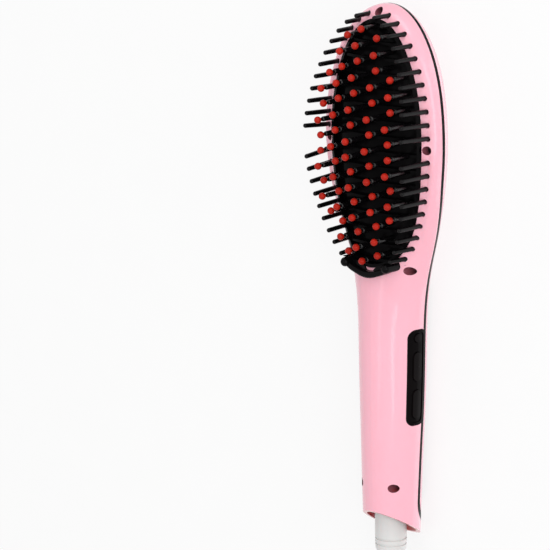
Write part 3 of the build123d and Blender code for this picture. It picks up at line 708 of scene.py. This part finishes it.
# ---- Pieces -------------------------------------------------------------------------------
class BRUSH_OT_guard_teeth(bpy.types.Operator):
    """Guard teeth: the strips as moulded, with stouter teeth that fan out at the middle gap"""
    bl_idname = "brush.guard_teeth"
    bl_label = "Guard Teeth"

    def execute(self, context):
        comb = moulded("Teeth Plastic", context.scene.brush_finish.comb_colour, 0.18, 2200.0,
                       0.000006, vary=0.25, specular=0.12)
        roots = self.roots()
        for side in ("left", "right", "lower"):
            teeth = merged_copy("comb_" + side)
            self.swell(teeth, roots, context.scene.brush_detail)
            take(teeth)
            bpy.ops.object.shade_smooth_by_angle(angle=math.radians(40))
            settle(teeth, "Guard_Teeth_" + side.title(), comb, "housing",
                   replaced=("comb_" + side,))
        return {"FINISHED"}

    def roots(self):
        """Root and fan of every tooth: the rows run at an even pitch round the bed."""
        places, steps = [], 6000
        for reach, way, first, count in TOOTH_ROWS:
            turn, walked, at = 0.0, 0.0, (HEAD_X, TOOTH_HALF)
            wanted = [first + TOOTH_PITCH * i for i in range(count)]
            for step in range(steps):
                turn += math.pi / 2 / steps
                to = (HEAD_X + way * reach * math.sin(turn), TOOTH_HALF * math.cos(turn))
                walked += math.dist(at, to)
                at = to
                if wanted and walked >= wanted[0]:
                    wanted.pop(0)
                    index = count - len(wanted) - 1
                    for side in (1, -1):
                        places.append((at[0], side * at[1], self.lean(way, side, index)))
        return places

    def lean(self, way, side, index):
        """How far a tip stands off its moulded place along the brush."""
        first, less = TOOTH_FAN[way, side]
        return way * max(0.0, first - less * index)

    def swell(self, teeth, roots, detail):
        """Makes the teeth stouter and taller, and sinks the strip's own wall."""
        for vertex in teeth.data.vertices:
            x, y, z = vertex.co / MM
            rise = z - TOOTH_BASE_Z
            if rise < 0.0:
                continue
            root = min(roots, key=lambda place: (place[0] - x) ** 2 + (place[1] - y) ** 2)
            side = 1 if root[1] > 0 else -1
            middle = (root[0], root[1] - side * math.tan(TOOTH_LEAN) * rise)
            if math.hypot(x - middle[0], y - middle[1]) > TOOTH_NEAR:
                self.sink(vertex, x, y)
                continue
            share = min(1.0, max(0.0, (rise - TOOTH_FOOT) / TOOTH_FULL))
            stout = min(1.0, max(0.0, (rise - TOOTH_FOOT) / TOOTH_STOUT))
            grow = 1.0 + detail.tooth_swell * stout
            out = side * (root_shift(root[0]) if root[0] < BED_ZONE[1] else 0.0) * (1.0 - share)
            vertex.co.x = (middle[0] + (x - middle[0]) * grow + root[2] * share) * MM
            vertex.co.y = (middle[1] + (y - middle[1]) * grow + out) * MM
            vertex.co.z += detail.tooth_reach * share

    def sink(self, vertex, x, y):
        """The strip's own wall stops under the rim, where the stouter guard wall covers it."""
        if on_strip_wall(x, abs(y), *STRIP_WALL_CUT):
            vertex.co.z = min(vertex.co.z, (surface(x, abs(y)) - 0.3) * MM)


class BRUSH_OT_guard_wall(bpy.types.Operator):
    """Guard wall: the curved wall at the handle end of the bed, with a domed post at each end"""
    bl_idname = "brush.guard_wall"
    bl_label = "Guard Wall"

    def execute(self, context):
        detail = context.scene.brush_detail
        skin = moulded("Guard Plastic", context.scene.brush_finish.comb_colour, 0.18, 2200.0,
                       0.000006, vary=0.25, specular=0.06)
        pieces = [self.wall(detail.guard_thickness)]
        for side in (1, -1):
            pieces.append(self.post(self.along(POST[1]), side * (POST[1] - 0.2), detail.post_radius))
        settle(joined(pieces), "Guard_Wall", skin, "housing")
        return {"FINISHED"}

    def along(self, across):
        """Where the wall's middle runs: on the tooth line, drawn back at its ends."""
        line = HEAD_X - TOOTH_TAIL * math.sqrt(1 - (across / TOOTH_HALF) ** 2)
        return line - WALL_DRAW * smooth((abs(across) - 6.0) / 8.0)

    def wall(self, thickness):
        """A rounded bar, sliced across and bent to its line, with a ledge towards the bed."""
        clear_selection()
        bpy.ops.mesh.primitive_cube_add(size=1.0, location=(0, 0, WALL_MIDDLE * MM))
        edit_all()
        bpy.ops.transform.resize(value=(thickness, 2 * POST[1] * MM, WALL_HEIGHT * MM))
        bpy.ops.mesh.bevel(offset=WALL_ROUNDING * MM, segments=3, affect="EDGES")
        cuts = [((0, cut * WALL_SLICE * MM, 0), (0, 1, 0))
                for cut in range(-WALL_SLICES, WALL_SLICES + 1)]
        cuts += [((0, 0, height * MM), (0, 0, 1)) for height in WALL_LEDGE]
        for place, way in cuts:
            bpy.ops.mesh.select_all(action="SELECT")
            bpy.ops.mesh.bisect(plane_co=place, plane_no=way, threshold=1e-6)
        bpy.ops.object.mode_set(mode="OBJECT")
        bpy.ops.object.transform_apply(location=True)
        wall = bpy.context.object
        ledge_top = sum(WALL_LEDGE) / 2 * MM
        for vertex in wall.data.vertices:
            across = abs(vertex.co.y) / MM
            if vertex.co.x > 0.2 * thickness and vertex.co.z < ledge_top:
                ends = smooth((across - 2.0) / 2.5) * smooth((13.0 - across) / 4.0)
                vertex.co.x += LEDGE_DEPTH * ends * MM
            vertex.co.x += self.along(vertex.co.y / MM) * MM
        bpy.ops.object.shade_smooth_by_angle(angle=math.radians(45))
        return wall

    def post(self, x, y, radius):
        """A round post, drawn up step by step into a dome."""
        clear_selection()
        bpy.ops.mesh.primitive_cylinder_add(vertices=POST_SIDES, radius=radius,
                                            depth=POST_HEIGHT * MM,
                                            location=(x * MM, y * MM, POST_MIDDLE * MM))
        faces = bpy.context.object.data.polygons
        edit_some(faces, "FACE", lambda face: face.normal.z > 0.9)
        reach, height = 1.0, 0.0
        for step in range(1, DOME_STEPS + 1):
            angle = math.radians(DOME_ANGLE * step)
            bpy.ops.mesh.extrude_region_move(TRANSFORM_OT_translate={
                "value": (0, 0, DOME_SHARE * radius * (math.sin(angle) - height))})
            bpy.ops.transform.resize(value=(math.cos(angle) / reach, math.cos(angle) / reach, 1.0))
            reach, height = math.cos(angle), math.sin(angle)
        return finish_edit(45)


class BRUSH_OT_pins(bpy.types.Operator):
    """Glossy pins with a shouldered neck, each with a ball tip"""
    bl_idname = "brush.pins"
    bl_label = "Pins and Tips"

    def execute(self, context):
        colours, detail = context.scene.brush_finish, context.scene.brush_detail
        skin = moulded("Coated Pin", colours.comb_colour, 0.12, 1800.0, 0.000004, vary=0.2,
                       specular=0.35)
        resin = moulded("Tip Resin", colours.tip_colour, 0.30, 2000.0, 0.00001, vary=0.16,
                        specular=0.12)
        pin, tip = self.pin(detail.pin_radius), self.tip(detail.tip_radius)
        for column in PIN_COLUMNS:
            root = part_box("pins_" + column)[0][2] + PIN_SUNK * MM
            pins, tips = [], []
            for centre in self.centres("tips_" + column):
                twin = copied(pin, centre)
                for vertex in twin.data.vertices:
                    if vertex.co.z < (PIN_ROOT_Z + 1.0) * MM:
                        vertex.co.z = root - centre[2]
                pins.append(twin)
                tips.append(copied(tip, centre))
            name = "".join(word.title() for word in column.split("_"))
            settle(joined(pins), "Pins_" + name, skin, "housing",
                   replaced=("pins_" + column,))
            settle(joined(tips), "Tips_" + name, resin, "housing",
                   replaced=("tips_" + column,))
        bpy.data.objects.remove(pin)
        bpy.data.objects.remove(tip)
        return {"FINISHED"}

    def centres(self, node):
        """Centres of a column's balls, from the node's own solids."""
        points = sorted((v.co.copy() for v in NODES[node].data.vertices), key=lambda p: p.x)
        groups = [[points[0]]]
        for point in points[1:]:
            if point.x - groups[-1][-1].x > 1.5 * MM:
                groups.append([])
            groups[-1].append(point)
        centres = []
        for group in groups:
            low = [min(p[i] for p in group) for i in range(3)]
            high = [max(p[i] for p in group) for i in range(3)]
            centres.append(Vector(((low[0] + high[0]) / 2, (low[1] + high[1]) / 2,
                                   high[2] - BALL_RADIUS * MM)))
        return centres

    def pin(self, radius):
        """A pin with the centre of its ball at the origin: root, shoulder, neck."""
        clear_selection()
        bpy.ops.mesh.primitive_circle_add(vertices=20, radius=PIN_ROOT_RADIUS * MM,
                                          fill_type="NOTHING", location=(0, 0, PIN_ROOT_Z * MM))
        bpy.ops.object.transform_apply(location=True)
        edit_all()
        height, reach = PIN_ROOT_Z, PIN_ROOT_RADIUS
        shoulder = tuple((z, radius / MM * share) for z, share in PIN_SHOULDER)
        for z, r in shoulder + PIN_NECK:
            bpy.ops.mesh.extrude_region_move(TRANSFORM_OT_translate={"value": (0, 0, (z - height) * MM)})
            bpy.ops.transform.resize(value=(r / reach, r / reach, 1.0))
            height, reach = z, r
        bpy.ops.mesh.edge_face_add()
        bpy.ops.mesh.select_all(action="SELECT")
        bpy.ops.mesh.normals_make_consistent(inside=False)
        return finish_edit(60)

    def tip(self, radius):
        """A ball tip with its centre at the origin and a rolled lip round the pin's neck."""
        clear_selection()
        bpy.ops.mesh.primitive_uv_sphere_add(segments=22, ring_count=14, radius=radius)
        edit_all()
        bpy.ops.mesh.bisect(plane_co=(0, 0, -0.80 * radius), plane_no=(0, 0, 1), clear_inner=True,
                            use_fill=True, threshold=1e-7)
        for rise in (-0.06, 0.2):
            bpy.ops.mesh.inset(thickness=0.12 * MM)
            bpy.ops.transform.translate(value=(0, 0, rise * MM))
        return finish_edit(50)


class BRUSH_OT_housing_screws(bpy.types.Operator):
    """Seven pan-head screws with a cross recess, down in the housing's wells"""
    bl_idname = "brush.housing_screws"
    bl_label = "Housing Screws"

    def execute(self, context):
        detail = context.scene.brush_detail
        steel = moulded("Black Zinc", (0.035, 0.033, 0.035), 0.32, 1600.0, 0.000008, metallic=1.0,
                        vary=0.2)
        pattern = self.screw(detail.screw_radius, detail.screw_slot)
        screws = [copied(pattern, (x * MM, y * MM, (seam + SCREW_SEAT) * MM))
                  for x, y, seam in SCREWS]
        bpy.data.objects.remove(pattern)
        settle(joined(screws), "Housing_Screws", steel, "housing",
               replaced=("housing_screws",))
        return {"FINISHED"}

    def screw(self, radius, slot):
        """One screw with the underside of its head at the origin."""
        clear_selection()
        top = SCREW_HEAD * MM
        bpy.ops.mesh.primitive_cylinder_add(vertices=32, radius=radius, depth=top,
                                            location=(0, 0, top / 2))
        screw = bpy.context.object
        bpy.ops.object.transform_apply(location=True)
        points = screw.data.vertices
        edit_some(screw.data.edges, "EDGE", lambda edge: all(
            abs(points[i].co.z - top) < 1e-5 for i in edge.vertices))
        bpy.ops.mesh.bevel(offset=SCREW_ROUNDING * MM, segments=3, profile=0.6, affect="EDGES")
        edit_some(screw.data.polygons, "FACE", lambda face: (
            abs(face.center.z) < 1e-5 and abs(face.normal.z) > 0.9))
        bpy.ops.mesh.inset(thickness=radius - SHANK_RADIUS * MM)
        for length in (SHANK_LENGTH, POINT_LENGTH):
            bpy.ops.mesh.extrude_region_move(TRANSFORM_OT_translate={"value": (0, 0, -length * MM)})
        bpy.ops.transform.resize(value=(0.35, 0.35, 1.0))
        bpy.ops.object.mode_set(mode="OBJECT")
        width, height = RECESS_WIDTH * MM, RECESS_HEIGHT * MM
        for cutter in [self.cutter(size) for size in ((width, slot, height), (slot, width, height))]:
            take(screw)
            cut = screw.modifiers.new("Recess", "BOOLEAN")
            cut.operation, cut.object, cut.solver = "DIFFERENCE", cutter, "EXACT"
            bpy.ops.object.modifier_apply(modifier=cut.name)
            bpy.data.objects.remove(cutter)
        take(screw)
        bpy.ops.object.shade_smooth_by_angle(angle=math.radians(35))
        return screw

    def cutter(self, size):
        """A block for one slot of the cross recess."""
        bpy.ops.mesh.primitive_cube_add(size=1.0, location=(0, 0, RECESS_Z * MM))
        cutter = bpy.context.object
        cutter.scale = size
        bpy.ops.object.transform_apply(location=True, scale=True)
        edit_some(cutter.data.vertices, "VERT", lambda vertex: vertex.co.z < RECESS_Z * MM)
        bpy.ops.transform.resize(value=(0.45, 0.45, 1.0))
        bpy.ops.object.mode_set(mode="OBJECT")
        return cutter


class BRUSH_OT_key_pip(bpy.types.Operator):
    """Raised pip in the middle of the plus key"""
    bl_idname = "brush.key_pip"
    bl_label = "Key Pip"

    def execute(self, context):
        low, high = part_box("plus_button")
        x, z = (low[0] + high[0]) / 2, (low[2] + high[2]) / 2
        key = NODES["plus_button"]
        into = key.matrix_world.inverted()
        hit, place, _, _ = key.ray_cast(into @ Vector((x, -0.06, z)),
                                        into.to_3x3() @ Vector((0, 1, 0)))
        if not hit:
            raise RuntimeError("the plus key has no face at its middle")
        middle = key.matrix_world @ place
        clear_selection()
        bpy.ops.mesh.primitive_uv_sphere_add(segments=24, ring_count=12, location=middle,
                                             radius=context.scene.brush_detail.pip_radius)
        bpy.context.object.scale = (1.0, 0.6, 1.0)
        bpy.ops.object.transform_apply(location=True, scale=True)
        edit_all()
        bpy.ops.mesh.bisect(plane_co=middle + Vector((0, 0.1 * MM, 0)), plane_no=(0, 1, 0),
                            clear_outer=True, use_fill=True, threshold=1e-7)
        settle(finish_edit(50), "Plus_Key_Pip", key.data.materials[0], "plus_button")
        return {"FINISHED"}


# ---- Stage --------------------------------------------------------------------------------
class BRUSH_OT_stage(bpy.types.Operator):
    """Pale floor, soft lights and the camera"""
    bl_idname = "brush.stage"
    bl_label = "Studio"

    def execute(self, context):
        stage = context.scene.brush_stage
        self.floor()
        self.surroundings(stage)
        self.lights(stage)
        self.camera()
        context.scene.view_settings.view_transform = "Standard"
        return {"FINISHED"}

    def floor(self):
        """A pale floor that shows white with the brush's shadow on it, and only from above."""
        clear_selection()
        bpy.ops.mesh.primitive_plane_add(size=6.0, location=(0.0, 0.0, -0.0004))
        floor = bpy.context.object
        floor.name = "Studio_Floor"
        material, tree, shader = new_material("Studio Floor")
        output = shader.outputs["BSDF"].links[0].to_node
        grain = spread(tree, noise(tree, object_pattern(tree), 40.0, detail=3.0), 0.0, 1.0)
        tone = blended(tree, grain, (0.86, 0.86, 0.86), (0.88, 0.88, 0.88))
        tree.links.new(tone, shader.inputs["Base Color"])
        shader.inputs["Roughness"].default_value = 0.9
        shader.inputs["Specular IOR Level"].default_value = 0.1
        white = tree.nodes.new("ShaderNodeEmission")
        white.inputs["Color"].default_value = WHITE
        white.inputs["Strength"].default_value = 1.0
        lifted = mixed(tree, 0.80, shader.outputs["BSDF"], white.outputs["Emission"])
        path = tree.nodes.new("ShaderNodeLightPath")
        unseen = calculated(tree, "SUBTRACT", 1.0, path.outputs["Is Camera Ray"])
        side = tree.nodes.new("ShaderNodeNewGeometry")
        gone = calculated(tree, "MAXIMUM", unseen, side.outputs["Backfacing"])
        clear = tree.nodes.new("ShaderNodeBsdfTransparent")
        shown = mixed(tree, gone, lifted, clear.outputs["BSDF"])
        tree.links.new(shown, output.inputs["Surface"])
        floor.data.materials.append(material)

    def surroundings(self, stage):
        """Soft light all round, which the camera, gloss and glass see as white."""
        world = bpy.data.worlds.new("Studio Surroundings")
        bpy.context.scene.world = world
        world.use_nodes = True
        tree = world.node_tree
        tree.nodes.clear()
        output = tree.nodes.new("ShaderNodeOutputWorld")
        path = tree.nodes.new("ShaderNodeLightPath")
        seen = path.outputs["Is Camera Ray"]
        for ray in ("Is Transmission Ray", "Is Glossy Ray"):
            seen = calculated(tree, "MAXIMUM", seen, path.outputs[ray])
        backgrounds = []
        for strength in (stage.sky, 1.0):
            background = tree.nodes.new("ShaderNodeBackground")
            background.inputs["Color"].default_value = WHITE
            background.inputs["Strength"].default_value = strength
            backgrounds.append(background.outputs["Background"])
        tree.links.new(mixed(tree, seen, *backgrounds), output.inputs["Surface"])

    def lights(self, stage):
        """The soft lamps of the studio."""
        for name, place, aim, size, power in LIGHTS:
            bpy.ops.object.light_add(type="AREA", location=place)
            light = bpy.context.object
            light.name = name
            light.data.shape = "RECTANGLE"
            light.data.size, light.data.size_y = size
            light.data.energy = getattr(stage, power)
            light.rotation_mode = "QUATERNION"
            light.rotation_quaternion = (Vector(aim) - Vector(place)).to_track_quat("-Z", "Y")

    def camera(self):
        """A long lens above the key side, with the brush to the right of the picture's middle."""
        lean, tilt, roll = (math.radians(a) for a in (CAMERA_LEAN, CAMERA_TILT, CAMERA_ROLL))
        flat = Vector((0.0, -math.sin(lean), math.cos(lean)))
        along = Vector((1.0, 0.0, 0.0))
        back = flat * math.cos(tilt) + along * math.sin(tilt)
        up = along * math.cos(tilt) - flat * math.sin(tilt)
        right = up.cross(back)
        right, up = (right * math.cos(roll) + up * math.sin(roll),
                     up * math.cos(roll) - right * math.sin(roll))
        place = Vector(CAMERA_AIM) * MM + back * CAMERA_REACH
        aside, above = CAMERA_OFFSET
        back = (back + right * (aside / CAMERA_FOCAL) + up * (above / CAMERA_FOCAL)).normalized()
        right = up.cross(back).normalized()
        up = back.cross(right)
        bpy.ops.object.camera_add(location=place)
        camera = bpy.context.object
        camera.name = "Studio_Camera"
        camera.rotation_mode = "QUATERNION"
        camera.rotation_quaternion = Matrix((right, up, back)).transposed().to_quaternion()
        camera.data.sensor_width = SENSOR_WIDTH
        camera.data.lens = CAMERA_FOCAL * SENSOR_WIDTH / PICTURE_WIDTH
        camera.data.clip_start, camera.data.clip_end = 0.05, 20.0
        bpy.context.scene.camera = camera


# ---- Sidebar ------------------------------------------------------------------------------
PIECES = (
    BRUSH_OT_shell_finish, BRUSH_OT_bed_finish, BRUSH_OT_key_finish, BRUSH_OT_inner_finish,
    BRUSH_OT_guard_teeth, BRUSH_OT_guard_wall, BRUSH_OT_pins, BRUSH_OT_cord_sleeve,
    BRUSH_OT_housing_screws, BRUSH_OT_key_pip, BRUSH_OT_stage)


class VIEW3D_PT_hair_brush(bpy.types.Panel):
    """Settings and steps of the brush"""
    bl_label = "Heated Hair Brush"
    bl_space_type = "VIEW_3D"
    bl_region_type = "UI"
    bl_category = "Hair Brush"

    def draw(self, context):
        for settings in (context.scene.brush_finish, context.scene.brush_detail,
                         context.scene.brush_stage):
            box = self.layout.box()
            for name in settings.__annotations__:
                box.prop(settings, name)
        for piece in PIECES:
            self.layout.operator(piece.bl_idname)


CLASSES = (BrushFinishSettings, BrushDetailSettings, BrushStageSettings, *PIECES,
           VIEW3D_PT_hair_brush)


def register():
    for item in CLASSES:
        bpy.utils.register_class(item)
    bpy.types.Scene.brush_finish = bpy.props.PointerProperty(type=BrushFinishSettings)
    bpy.types.Scene.brush_detail = bpy.props.PointerProperty(type=BrushDetailSettings)
    bpy.types.Scene.brush_stage = bpy.props.PointerProperty(type=BrushStageSettings)


def unregister():
    del bpy.types.Scene.brush_stage, bpy.types.Scene.brush_detail, bpy.types.Scene.brush_finish
    for item in reversed(CLASSES):
        bpy.utils.unregister_class(item)


def main():
    register()
    bpy.ops.brush.shell_finish()
    bpy.ops.brush.bed_finish()
    bpy.ops.brush.key_finish()
    bpy.ops.brush.inner_finish()
    bpy.ops.brush.guard_teeth()
    bpy.ops.brush.guard_wall()
    bpy.ops.brush.pins()
    bpy.ops.brush.cord_sleeve()
    bpy.ops.brush.housing_screws()
    bpy.ops.brush.key_pip()
    bpy.ops.brush.stage()


if __name__ == "__main__":
    main()
